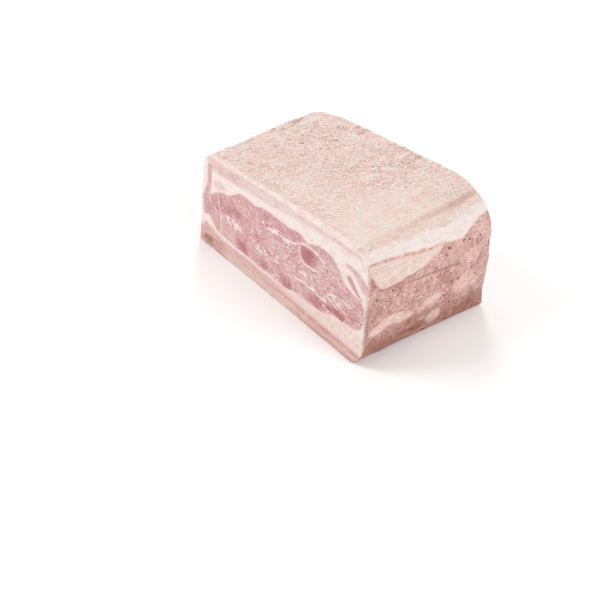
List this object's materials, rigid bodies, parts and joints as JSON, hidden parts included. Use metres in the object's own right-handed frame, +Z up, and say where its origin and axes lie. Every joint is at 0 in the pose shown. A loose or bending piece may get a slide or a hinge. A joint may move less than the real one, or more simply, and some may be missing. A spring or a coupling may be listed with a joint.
{
  "type": "cooked streaky bacon slab",
  "caption": "Thick block of cooked streaky bacon, with layers of pink lean and white fat on its cut face, a rounded fatty shoulder at one end and a flat foot to rest on",
  "frame": {"origin": "centre of the foot, midway along the block's width and depth, at the height of the table", "axes": "X along the cut face, Y from the cut face to the back, Z up"},
  "size_m": [0.1888, 0.1082, 0.0899],
  "materials": {
    "bacon": "moist cooked meat and fat"
  },
  "bodies": {
    "root": {"bacon_slab": "bacon"}
  },
  "joints": []
}
